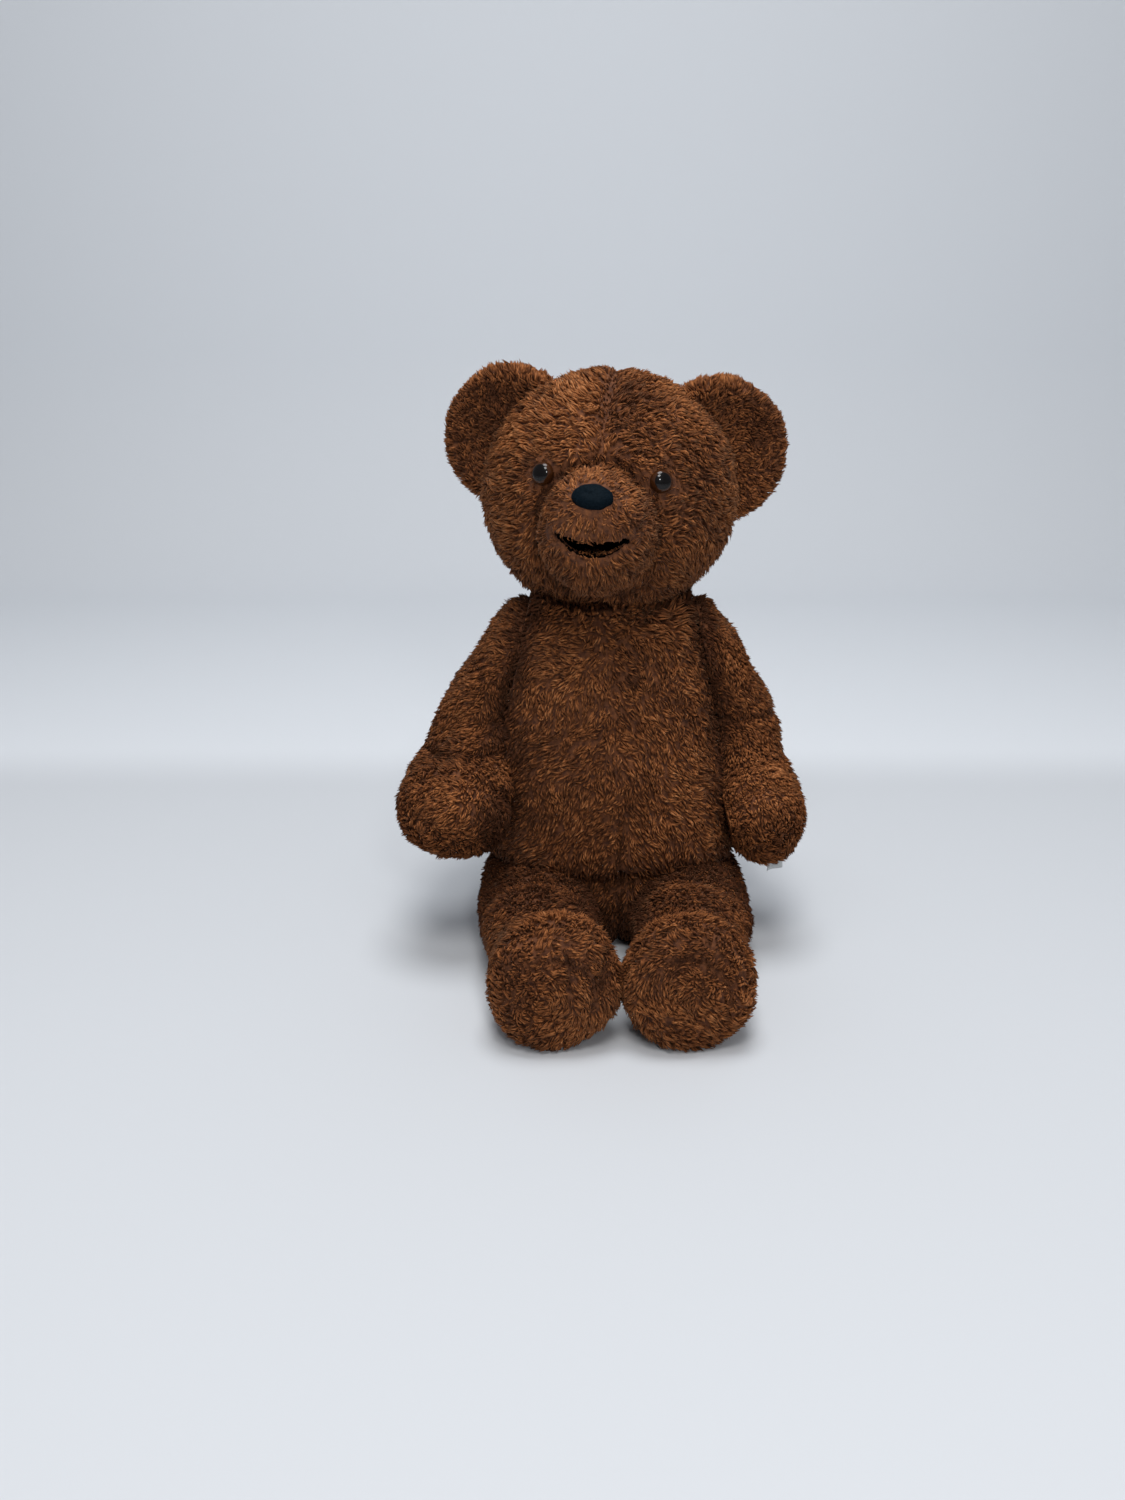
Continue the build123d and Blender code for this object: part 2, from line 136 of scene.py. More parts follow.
# The legs: how far round its joint a thigh is flat, and the two puckers in the right sole, across and up.
THIGH_FACE = 50 * MM
SOLE_PUCKERS = ((5.0 * MM, 14.0 * MM), (20.0 * MM, 8.0 * MM))

# The care label: its extra length below the CAD's, how far it spans in X and in Y, and its thickness.
LABEL_LONGER = 7 * MM
LABEL_ACROSS = (7.5 * MM, 6.5 * MM)
LABEL_THICKNESS = 0.3 * MM

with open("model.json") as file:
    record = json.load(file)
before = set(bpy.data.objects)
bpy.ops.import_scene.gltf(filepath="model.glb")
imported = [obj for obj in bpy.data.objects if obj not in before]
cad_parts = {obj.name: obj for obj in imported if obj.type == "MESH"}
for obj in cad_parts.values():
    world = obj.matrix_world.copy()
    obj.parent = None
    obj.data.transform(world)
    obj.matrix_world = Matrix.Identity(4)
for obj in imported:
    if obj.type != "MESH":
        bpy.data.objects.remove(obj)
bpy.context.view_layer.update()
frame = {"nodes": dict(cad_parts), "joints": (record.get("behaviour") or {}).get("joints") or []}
scene = bpy.context.scene
joints = {joint["name"]: joint for joint in frame["joints"]}


# ---------------------------------------------------------------- small helpers


def unit(vectors):
    """The same directions with a length of 1."""
    lengths = np.linalg.norm(vectors, axis=-1, keepdims=True)
    return vectors / np.maximum(lengths, 1e-9)


def corners_of(node):
    """The low and high corners of a CAD node's box."""
    low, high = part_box(node)
    return np.array(low), np.array(high)


def middle(node):
    """The middle of a CAD node's box."""
    low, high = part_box(node)
    return np.array((low + high) / 2)


def fade(value, start, end):
    """0 before start, 1 after end, and smooth between them."""
    share = np.clip((value - start) / (end - start), 0, 1)
    return share * share * (3 - 2 * share)


def ridge(distance, width):
    """1 on a line, falling away to nothing a couple of widths from it."""
    return np.exp(-((distance / width) ** 2))


def lumps(points, wavelength, seed):
    """Smooth seeded noise, about -1 to 1, whose features are a wavelength apart."""
    rng = np.random.default_rng(seed)
    total = np.zeros(len(points))
    for _ in range(WAVES):
        wave = unit(rng.normal(size=3)) * math.tau / (wavelength * rng.uniform(0.7, 1.4))
        total += np.sin(points @ wave + rng.uniform(0, math.tau))
    return total / math.sqrt(WAVES)


def axes(back, up):
    """Rows are the left, back and up axes of a part."""
    up = unit(np.array(up, float))
    back = np.array(back, float)
    back = unit(back - (back @ up) * up)
    return np.array([np.cross(back, up), back, up])


def places(mesh):
    """Where a mesh's vertices are."""
    found = np.empty(len(mesh.vertices) * 3, np.float32)
    mesh.vertices.foreach_get("co", found)
    return found.reshape(-1, 3).astype(float)


def normals(mesh):
    """Which way a mesh's vertices face."""
    found = np.empty(len(mesh.vertices) * 3, np.float32)
    mesh.vertex_normals.foreach_get("vector", found)
    return found.reshape(-1, 3).astype(float)


def put(mesh, points):
    """Moves a mesh's vertices to these points."""
    mesh.vertices.foreach_set("co", points.astype(np.float32).ravel())
    mesh.update()


def add_object(name, mesh):
    made = bpy.data.objects.new(name, mesh)
    scene.collection.objects.link(made)
    return made


def apply_modifiers(piece):
    """Makes what a piece's modifiers give its own mesh."""
    graph = bpy.context.evaluated_depsgraph_get()
    made = bpy.data.meshes.new_from_object(piece.evaluated_get(graph))
    piece.modifiers.clear()
    piece.data = made


def voxel_remesh(piece, size):
    remesh = piece.modifiers.new("remesh", "REMESH")
    remesh.mode = "VOXEL"
    remesh.voxel_size = size
    apply_modifiers(piece)


def relax(mesh, passes):
    """Evens the surface without shrinking it, by one pass in and one out."""
    edges = np.empty(len(mesh.edges) * 2, np.int32)
    mesh.edges.foreach_get("vertices", edges)
    first, second = edges.reshape(-1, 2).T
    points = places(mesh)
    count = len(points)
    shared = np.bincount(first, minlength=count) + np.bincount(second, minlength=count)
    for turn in range(passes):
        share = 0.5 if turn % 2 == 0 else -0.52
        for axis in range(3):
            column = points[:, axis]
            total = np.bincount(first, column[second], count) + np.bincount(second, column[first], count)
            points[:, axis] = column + share * (total / np.maximum(shared, 1) - column)
    put(mesh, points)


# ---------------------------------------------------------------- materials


def principled(name, colour, roughness, **sockets):
    """A plain material and its shader, with any other sockets by their names."""
    material = bpy.data.materials.new(name)
    material.use_nodes = True
    shader = material.node_tree.nodes["Principled BSDF"]
    shader.inputs["Base Color"].default_value = (*colour, 1)
    shader.inputs["Roughness"].default_value = roughness
    for socket, value in sockets.items():
        shader.inputs[socket.replace("_", " ")].default_value = value
    return material, shader


def noise(material, scale, detail):
    """A noise texture in the piece's own coordinates."""
    tree = material.node_tree
    coordinates = tree.nodes.new("ShaderNodeTexCoord")
    texture = tree.nodes.new("ShaderNodeTexNoise")
    texture.inputs["Scale"].default_value = scale
    texture.inputs["Detail"].default_value = detail
    tree.links.new(coordinates.outputs["Object"], texture.inputs["Vector"])
    return texture


def bump(material, shader, texture, distance, strength):
    """Makes a texture's values the height of the surface."""
    tree = material.node_tree
    node = tree.nodes.new("ShaderNodeBump")
    node.inputs["Distance"].default_value = distance
    node.inputs["Strength"].default_value = strength
    tree.links.new(texture.outputs[0], node.inputs["Height"])
    tree.links.new(node.outputs["Normal"], shader.inputs["Normal"])


def mottle(material, shader, texture, dark, light):
    """Makes a texture's values run from a dark to a light colour."""
    tree = material.node_tree
    ramp = tree.nodes.new("ShaderNodeValToRGB")
    ramp.color_ramp.elements[0].position = 0.35
    ramp.color_ramp.elements[0].color = (*dark, 1)
    ramp.color_ramp.elements[1].position = 0.7
    ramp.color_ramp.elements[1].color = (*light, 1)
    tree.links.new(texture.outputs["Fac"], ramp.inputs["Fac"])
    tree.links.new(ramp.outputs["Color"], shader.inputs["Base Color"])


def patterned(name, dark, light, roughness, scale, depth, **sockets):
    """A mottled, slightly uneven surface."""
    material, shader = principled(name, light, roughness, **sockets)
    texture = noise(material, scale, 6)
    mottle(material, shader, texture, dark, light)
    bump(material, shader, texture, depth, 0.6)
    return material


backing = patterned("plush_backing", PILE_COLOURS[0], PILE_COLOURS[2], 0.95, 420, 0.8 * MM)
pile_shades = [
    principled(
        f"pile_{number}",
        colour,
        0.85,
        Sheen_Weight=0.12,
        Sheen_Roughness=0.5,
        Sheen_Tint=(1.0, 0.55, 0.30, 1),
        Specular_IOR_Level=0.15,
    )[0]
    for number, colour in enumerate(PILE_COLOURS)
]


# ---------------------------------------------------------------- covers from the CAD solids


def add_plug(joined, origin, inward):
    """Closes the small hole that a pin or an eye's shank leaves in a cover."""
    inward = Vector(inward).normalized()
    turn = inward.to_track_quat("Z", "Y").to_matrix().to_4x4()
    place = Matrix.Translation(Vector(origin) + inward * 5 * MM) @ turn
    bmesh.ops.create_cone(
        joined, cap_ends=True, segments=16, radius1=4 * MM, radius2=4 * MM, depth=7 * MM, matrix=place
    )


def largest_island(mesh):
    """Drops whatever small shells a remesh has left inside the cover."""
    work = bmesh.new()
    work.from_mesh(mesh)
    left = set(work.verts)
    islands = []
    while left:
        reached = {left.pop()}
        edge = list(reached)
        while edge:
            near = [e.other_vert(v) for v in edge for e in v.link_edges]
            edge = [v for v in set(near) if v in left]
            left.difference_update(edge)
            reached.update(edge)
        islands.append(reached)
    islands.sort(key=len)
    loose = [v for island in islands[:-1] for v in island]
    bmesh.ops.delete(work, geom=loose, context="VERTS")
    work.to_mesh(mesh)
    work.free()


def cover(name, nodes, plugs, voxel=VOXEL):
    """One closed, evened cover round these CAD solids."""
    joined = bmesh.new()
    for node in nodes:
        joined.from_mesh(frame["nodes"][node].data)
    for origin, inward in plugs:
        add_plug(joined, origin, inward)
    mesh = bpy.data.meshes.new(name)
    joined.to_mesh(mesh)
    joined.free()
    piece = add_object(name, mesh)
    voxel_remesh(piece, voxel)
    largest_island(piece.data)
    relax(piece.data, 12)
    piece.data.shade_smooth()
    piece.data.materials.clear()
    piece.data.materials.append(backing)
    return piece


def stuff(piece, sewn, pressure=5, cap=2.2 * MM):
    """Swells a cover over its filling by up to cap, as cloth under pressure that sewn(points) holds in place."""
    cloth_piece = add_object(piece.name + "_cloth", piece.data.copy())
    voxel_remesh(cloth_piece, CLOTH_VOXEL)
    rest = places(cloth_piece.data)
    held = cloth_piece.vertex_groups.new(name="sewn")
    held.add([int(i) for i in np.flatnonzero(sewn(rest))], 1, "REPLACE")
    cloth = cloth_piece.modifiers.new("cloth", "CLOTH")
    cloth.settings.vertex_group_mass = "sewn"
    cloth.settings.use_pressure = True
    cloth.settings.uniform_pressure_force = pressure
    cloth.settings.effector_weights.gravity = 0
    for number in range(1, CLOTH_FRAMES + 1):
        scene.frame_set(number)
    graph = bpy.context.evaluated_depsgraph_get()
    move = places(cloth_piece.evaluated_get(graph).data) - rest
    length = np.linalg.norm(move, axis=1, keepdims=True)
    move *= np.minimum(1, cap / np.maximum(length, 1e-9))
    tree = KDTree(len(rest))
    for index, point in enumerate(rest):
        tree.insert(point, index)
    tree.balance()
    points = places(piece.data)
    for index, point in enumerate(points):
        near = tree.find_n(point, 4)
        weights = np.array([1 / (distance + 0.5 * MM) for _, _, distance in near])
        points[index] += weights @ move[[which for _, which, _ in near]] / weights.sum()
    put(piece.data, points)
    bpy.data.objects.remove(cloth_piece)
    scene.frame_set(1)


def sculpt(piece, height):
    """Moves vertices out along their normals by height(points, normals), in two half steps."""
    for _ in range(2):
        points, outward = places(piece.data), normals(piece.data)
        put(piece.data, points + outward * (height(points, outward) / 2)[:, None])
    relax(piece.data, 2)


def hold_behind(points, origin, outward, gap):
    """Keeps points at least gap behind a joint's plane, or no more than -gap in front of it."""
    ahead = (points - origin) @ outward + gap
    return points - np.maximum(ahead, 0)[:, None] * outward


# ---------------------------------------------------------------- the pile


def scatter(mesh, count, density, rng):
    """Points all over a mesh with their normals, as thick as density(points, normals) asks."""
    mesh.calc_loop_triangles()
    corners = np.empty(len(mesh.loop_triangles) * 3, np.int32)
    mesh.loop_triangles.foreach_get("vertices", corners)
    corners = corners.reshape(-1, 3)
    points, outward = places(mesh), normals(mesh)
    a, b, c = (points[corners[:, k]] for k in range(3))
    area = np.linalg.norm(np.cross(b - a, c - a), axis=1)
    weight = area * density((a + b + c) / 3, unit(outward[corners].mean(axis=1)))
    chosen = rng.choice(len(corners), count, p=weight / weight.sum())
    share = rng.random((count, 2))
    over = share.sum(axis=1) > 1
    share[over] = 1 - share[over]
    mix = np.column_stack([1 - share.sum(axis=1), share])[:, :, None]
    return (points[corners[chosen]] * mix).sum(axis=1), unit((outward[corners[chosen]] * mix).sum(axis=1))


def clumped(roots, tips, rng):
    """Draws each tuft's tip towards that of the clump it belongs to."""
    leaders = rng.choice(len(roots), max(1, len(roots) // CLUMP_TUFTS), replace=False)
    tree = KDTree(len(leaders))
    for index in leaders:
        tree.insert(roots[index], int(index))
    tree.balance()
    leader = np.array([tree.find(root)[1] for root in roots])
    pull = CLUMP_PULL * fade(-np.linalg.norm(roots - roots[leader], axis=1), -CLUMP_REACH, -4 * MM)
    return tips + (tips[leader] - tips) * pull[:, None], leader


def tuft_mesh(name, roots, bends, tips, radius, shade):
    """One mesh of three-sided tufts, each bending over once and ending in a point."""
    count = len(roots)
    along = unit(tips - roots)
    side = unit(np.cross(along, np.where(np.abs(along[:, :1]) > 0.8, [0.0, 1.0, 0.0], [1.0, 0.0, 0.0])))
    other = np.cross(along, side)
    vertices = np.empty((count, 7, 3))
    for corner in range(3):
        angle = corner * math.tau / 3
        spoke = (side * math.cos(angle) + other * math.sin(angle)) * radius[:, None]
        vertices[:, corner] = roots + spoke
        vertices[:, corner + 3] = bends + spoke * 0.8
    vertices[:, 6] = tips
    quads = np.array([[0, 1, 4, 3], [1, 2, 5, 4], [2, 0, 3, 5]])
    points = np.array([[3, 4, 6], [4, 5, 6], [5, 3, 6]])
    base = (np.arange(count) * 7)[:, None]
    loops = np.concatenate([base + quads.ravel(), base + points.ravel()], axis=1)
    starts = (np.arange(count) * 21)[:, None] + np.array([0, 4, 8, 12, 15, 18])
    mesh = bpy.data.meshes.new(name)
    mesh.vertices.add(count * 7)
    mesh.vertices.foreach_set("co", vertices.astype(np.float32).ravel())
    mesh.loops.add(count * 21)
    mesh.loops.foreach_set("vertex_index", loops.ravel().astype(np.int32))
    mesh.polygons.add(count * 6)
    mesh.polygons.foreach_set("loop_start", starts.ravel().astype(np.int32))
    # Each tuft's three lower faces take the next darker shade: painted shade at its root.
    lower = np.maximum(shade - 1, 0)
    slots = np.repeat(np.column_stack([lower, shade]), 3, axis=1)
    for material in pile_shades:
        mesh.materials.append(material)
    mesh.polygons.foreach_set("material_index", slots.ravel().astype(np.int32))
    mesh.update(calc_edges=True)
    mesh.validate()
    mesh.shade_smooth()
    return mesh


def everywhere(points, outward):
    """The density of a pile that is the same all over."""
    return np.ones(len(points))


def unlimited(points):
    """The limit of a pile that may stand anywhere."""
    return points


def grow_pile(piece, count, comb, density=everywhere, limit=unlimited, seed=1):
    """Covers a piece with tufts. comb(points, normals) gives nap, length factor, lift and brightness, which is
    painted light and shade.
    """
    rng = np.random.default_rng(seed)
    roots, outward = scatter(piece.data, count, density, rng)
    nap, length, lift, bright = comb(roots, outward)
    length = np.maximum(length, SHORTEST_TUFT)
    nap = nap - (nap * outward).sum(axis=1, keepdims=True) * outward
    nap = unit(nap)
    across = np.cross(outward, nap)
    swirl = 0.6 * lumps(roots, 34 * MM, seed + 11) + 0.35 * lumps(roots, 13 * MM, seed + 12)
    swirl = swirl + rng.normal(0, 0.28, count)
    nap = nap * np.cos(swirl)[:, None] + across * np.sin(swirl)[:, None]
    lift = np.clip(lift + rng.normal(0, 0.12, count), 0.15, 1)[:, None]
    size = TUFT_LENGTH * length * rng.uniform(0.72, 1.25, count)
    lean = unit(outward * lift + nap * (1 - 0.6 * lift))
    bends = roots + unit(outward * 0.9 + lean) * (size * 0.5)[:, None]
    tips = bends + unit(lean - outward * 0.15 + rng.normal(0, 0.18, (count, 3))) * (size * 0.62)[:, None]
    tips, leader = clumped(roots, tips, rng)
    bends = bends + (tips - bends) * 0.08
    roots = roots - outward * 0.5 * MM
    bends, tips = limit(bends), limit(tips)
    for ends in (bends, tips):
        ends[:, 2] = np.maximum(ends[:, 2], 0.3 * MM)
    clump_tone = rng.normal(0, 0.55, count)[leader]
    own_tone = rng.normal(0, 0.75, count)
    # bright adds the combs' painted light and shade; the clump, tuft and lumps terms are the pile's own uneven
    # tone.
    tone = 2.4 + 1.5 * bright + clump_tone + own_tone + 0.5 * lumps(roots, 45 * MM, seed + 13)
    shade = np.clip(np.rint(tone), 0, len(PILE_COLOURS) - 1).astype(int)
    radius = TUFT_RADIUS * np.sqrt(length) * rng.uniform(0.75, 1.25, count)
    name = piece.name + "_pile"
    return add_object(name, tuft_mesh(name, roots, bends, tips, radius, shade))


def dress(piece, pile, body, nodes):
    """Sets a finished cover and its pile on its CAD body in place of the CAD's own soft solids."""
    for part in (piece, pile):
        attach(part, body)
    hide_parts(*nodes)


# ---------------------------------------------------------------- head


def neck():
    """The neck joint's place and its upward axis."""
    joint = joints["neck_turn"]
    return np.array(joint["pos_m"]), unit(np.array(joint["axis"]))


NECK_PLACE, NECK_UP = neck()
HEAD_AXES = axes(middle("head_skin") - middle("nose"), NECK_UP)
EYES = {
    side: middle(f"{side}_eye_lens") + HEAD_AXES[0] * sign * EYE_OUTWARD for side, sign in SIDES.items()
}
NOSE = middle("nose") + np.array(NOSE_SHIFT)
MOUTH = middle("mouth_lining")


def in_head(points):
    """Points across, back and up in the head, from its neck joint."""
    return (points - NECK_PLACE) @ HEAD_AXES.T


def muzzle_reach(points):
    """How far out points are from the middle of the muzzle, on its own oval."""
    x, _, z = in_head(points).T
    return np.hypot(x, (z - in_head(NOSE)[2] + 16.5 * MM) * 0.9)


def muzzle_crease(points):
    """The fold round the muzzle: over the nose, and deep beside the mouth on the bear's right."""
    x, y, z = in_head(points).T
    fold = ridge(muzzle_reach(points) - MUZZLE_RADIUS, 2.8 * MM) * fade(-y, 18 * MM, 36 * MM)
    return fold * (0.35 + 0.65 * np.maximum(fade(z, 45 * MM, 58 * MM), fade(-x, 5 * MM, 15 * MM)))


def head_height(points, outward):
    """Forehead seam, the crease over the muzzle, full cheeks and a lumpy filling."""
    x, y, z = in_head(points).T
    front = fade(-y, 18 * MM, 40 * MM)
    seam = ridge(x, 1.8 * MM) * fade(z, 66 * MM, 80 * MM) * (0.1 + 0.9 * fade(-y, 15 * MM, 38 * MM))
    crease = muzzle_crease(points)
    raised = fade(-muzzle_reach(points), -26 * MM, -18 * MM) * front
    cheek = ridge(np.abs(x) - 38 * MM, 14 * MM) * ridge(z - 34 * MM, 16 * MM) * front
    height = -1.3 * MM * seam - 3.2 * MM * crease + 1.6 * MM * raised + 1.8 * MM * cheek
    for side in SIDES:
        washer = np.linalg.norm(points - middle(f"{side}_eye_washer"), axis=1)
        height = height + 1.4 * MM * ridge(washer, 9 * MM)
    return height + 0.3 * MM * lumps(points, 34 * MM, 5)


def eye_distance(points):
    """How far points are from the nearer eye."""
    return np.minimum(*(np.linalg.norm(points - EYES[side], axis=1) for side in SIDES))


def forehead_seam(points):
    """1 along the seam that runs back from the forehead."""
    x, _, z = in_head(points).T
    return ridge(x, 2.2 * MM) * fade(z, 66 * MM, 80 * MM)


def lower_lip(points):
    """Which points are on the edge below the mouth, and which are above its middle."""
    x, _, z = in_head(points).T
    above = fade(z - mouth_curve(x), -1 * MM, 2 * MM)
    return (1 - above) * fade(-mouth_distance(points), -2.6 * MM, -0.9 * MM), above


def head_brightness(points, reach):
    """Painted light right of the forehead's seam, on the right cheek and round the muzzle, and painted shade
    left of the seam, in the seam, in the creases and below.
    """
    x, y, z = in_head(points).T
    front = fade(-y, 10 * MM, 30 * MM)
    crown = fade(z, 60 * MM, 78 * MM)
    lit_right_of_seam = front * fade(-x, 0, 6 * MM) * crown
    shaded_left_of_seam = front * fade(x, 0, 6 * MM) * ridge(x - 8 * MM, 16 * MM) * crown
    cheek = np.sign(-x) * ridge(z - 34 * MM, 22 * MM) * fade(np.abs(x), 12 * MM, 25 * MM)
    # Painted light right of the forehead's seam, painted shade left of it and in the seam.
    bright = 0.95 * lit_right_of_seam - 0.95 * shaded_left_of_seam - 0.9 * forehead_seam(points)
    # Painted light on the bear's right cheek, painted shade on its left.
    bright = bright + 0.25 * front * cheek
    # Painted light round the muzzle, painted shade under the head.
    bright = bright + 0.35 * ridge(reach - 12 * MM, 8 * MM) - 0.3 * fade(-z, -30 * MM, -8 * MM)
    # Painted shade in the muzzle's crease.
    return bright - 1.1 * muzzle_crease(points)


def head_comb(points, outward):
    """The nap runs out from the nose over the muzzle, and down and back over the skull."""
    x = in_head(points)[:, 0]
    from_nose = points - NOSE
    reach = np.linalg.norm(from_nose, axis=1)
    down = -HEAD_AXES[2] + 0.5 * HEAD_AXES[1]
    sideways = np.sign(x)[:, None] * HEAD_AXES[0]
    share = ridge(reach, 45 * MM)[:, None]
    lip, above = lower_lip(points)
    nap = unit(from_nose) * share + (down + sideways * 0.6) * (1 - share)
    nap = nap * (1 - lip)[:, None] + HEAD_AXES[2] * lip[:, None]
    length = 0.35 + 0.65 * fade(eye_distance(points), 5 * MM, 14 * MM)
    length *= 0.55 + 0.45 * fade(reach, 9 * MM, 22 * MM)
    length *= 1 - (0.45 - 0.15 * above) * fade(-mouth_distance(points), -6 * MM, -1 * MM)
    length *= 1 - 0.5 * lip
    length *= 1 - 0.45 * forehead_seam(points)
    lift = 0.55 - 0.2 * share[:, 0] + 0.35 * lip
    return nap, length, lift, head_brightness(points, reach)


def mouth_curve(x):
    """How high the middle of the mouth's crescent is, this far across the head."""
    return in_head(MOUTH)[2] + 1.5 * MM + 6.5 * MM * ((x / MOUTH_HALF) ** 2 - 0.5)


def mouth_distance(points):
    """How far points are from the mouth's crescent, in the head's own plane."""
    x, y, z = in_head(points).T
    past_corner = np.maximum(np.abs(x) - MOUTH_HALF, 0)
    past_lip = np.maximum(np.abs(z - mouth_curve(x)) - 2.5 * MM, 0)
    behind_face = 50 * MM * fade(y, -50 * MM, -30 * MM)
    return np.hypot(past_corner, past_lip) + behind_face


def make_head():
    """The skull and muzzle in one cover."""
    skin = ("head_skin", "head_stuffing")
    inner = ("neck_limb_disc", "neck_limb_washer", "left_eye_washer", "right_eye_washer")
    to_middle = middle("head_skin")
    plugs = [(NECK_PLACE, NECK_UP)] + [(EYES[side], to_middle - EYES[side]) for side in SIDES]
    piece = cover("head_plush", skin + inner, plugs)
    stuff(piece, head_sewn)
    sculpt(piece, head_height)
    put(piece.data, hold_behind(places(piece.data), NECK_PLACE, -NECK_UP, 0.4 * MM))
    pile = grow_pile(piece, HEAD_TUFTS, head_comb, head_density, head_limit, seed=21)
    dress(piece, pile, "head", skin)


def head_sewn(points):
    """The neck's edge and the face, which the head's filling doesn't push out."""
    _, y, z = in_head(points).T
    face = (y < -25 * MM) & (z > 10 * MM) & (z < 75 * MM)
    return (z < 8 * MM) | face


def head_density(points, outward):
    """No tufts on the neck's flat face, under the eyes and the nose, or inside the mouth."""
    off_neck = fade((points - NECK_PLACE) @ NECK_UP, 0.3 * MM, 2.5 * MM)
    off_eyes = fade(eye_distance(points), 4.5 * MM, 6.5 * MM)
    off_nose = fade(np.linalg.norm(points - NOSE, axis=1), 7.5 * MM, 9 * MM)
    off_mouth = fade(mouth_distance(points), 0.2 * MM, 1.2 * MM)
    return off_neck * off_eyes * off_nose * off_mouth


def neck_fringe(points):
    """How far the fur at the neck's outer edge hangs over its joint plane."""
    flat = points - NECK_PLACE
    reach = np.linalg.norm(flat - (flat @ NECK_UP)[:, None] * NECK_UP, axis=1)
    return 0.6 * MM + 6.5 * MM * fade(reach, 28 * MM, 45 * MM)


def head_limit(points):
    """Keeps the head's fur above the neck's joint, but for its fringe."""
    below = -((points - NECK_PLACE) @ NECK_UP) - neck_fringe(points)
    return points + np.maximum(below, 0)[:, None] * NECK_UP


# ---------------------------------------------------------------- ears


def make_ear(side):
    """A cupped ear: a flat sewn disc that its own rim pulls into a dish."""
    node = f"{side}_ear"
    piece = cover(f"{side}_ear_plush", (node,), [], voxel=1.3 * MM)
    points = places(piece.data)
    centre = middle(node)
    spread = np.linalg.eigh(np.cov((points - points.mean(axis=0)).T))[1]
    facing = spread[:, 0] * -np.sign(spread[:, 0] @ HEAD_AXES[1])
    to_edge = unit(centre - middle("head_skin"))
    flat = points - centre
    across = flat - (flat @ facing)[:, None] * facing
    reach = np.linalg.norm(across, axis=1) / EAR_RADIUS
    dish = 5.5 * MM * (1 - np.clip(reach, 0, 1) ** 2)
    points -= facing * dish[:, None]
    put(piece.data, points)

    def height(points, outward):
        """The seam inside the rim, and a little unevenness."""
        return 0.3 * MM * lumps(points, 22 * MM, 31) - 0.6 * MM * ridge(reach - 0.9, 0.06)

    def comb(points, outward):
        """The nap runs away from the ear's root, with painted shade inside the dish and at the root and painted
        light on the rim.
        """
        away = points - (centre - to_edge * 22 * MM)
        offset = points - centre
        reach_out = np.linalg.norm(offset - (offset @ facing)[:, None] * facing, axis=1) / EAR_RADIUS
        inside = (outward @ facing > 0.3) * fade(-reach_out, -0.95, -0.6)
        length = 0.95 - 0.25 * inside + 0.1 * fade(reach_out, 0.8, 1)
        root = ridge((points - centre) @ to_edge + 26 * MM, 16 * MM)
        # Painted shade inside the dish and at the root against the head, painted light on the rim.
        bright = EAR_TONE[side] - 0.6 * inside - 0.8 * root + 0.3 * fade(reach_out, 0.85, 1)
        return away, length, np.full(len(points), 0.5), bright

    sculpt(piece, height)
    pile = grow_pile(piece, EAR_TUFTS, comb, seed=41 + SIDES[side])
    dress(piece, pile, "head", (node,))


# ---------------------------------------------------------------- torso


def torso_planes():
    """The flat faces where the head and the arms meet the torso, each with its outward direction."""
    planes = [(NECK_PLACE, NECK_UP)]
    for side, sign in SIDES.items():
        joint = joints[f"{side}_shoulder_swing"]
        axis = unit(np.array(joint["axis"]))
        planes.append((np.array(joint["pos_m"]), -axis * sign))
    return planes


TORSO_PLANES = torso_planes()
HIPS = {side: np.array(joints[f"{side}_hip_swing"]["pos_m"]) for side in SIDES}
UNDER_BELLY = HIPS["left"][2] + BELLY_OVER_HIP


def off_centre_seam(points):
    """How far points are from the front's seam, which leans to the bear's right on its way up."""
    lean = -6 * MM * fade(points[:, 2], 50 * MM, 150 * MM)
    return points[:, 0] - lean - SEAM_SHIFT


def torso_height(points, outward):
    """The centre seam, deeper where the belly turns under, and soft unevenness."""
    _, y, z = points.T
    front = fade(-y, 5 * MM, 25 * MM)
    turned_under = fade(-z, -82 * MM, -58 * MM)
    seam = ridge(off_centre_seam(points), 1.9 * MM) * front * (0.35 + 1.3 * turned_under)
    belly = ridge(z - 92 * MM, 30 * MM) * front
    chest = ridge(z - 140 * MM, 16 * MM) * front
    return -1.5 * MM * seam + 1.6 * MM * belly - 0.5 * MM * chest + 1.0 * MM * lumps(points, 38 * MM, 6)


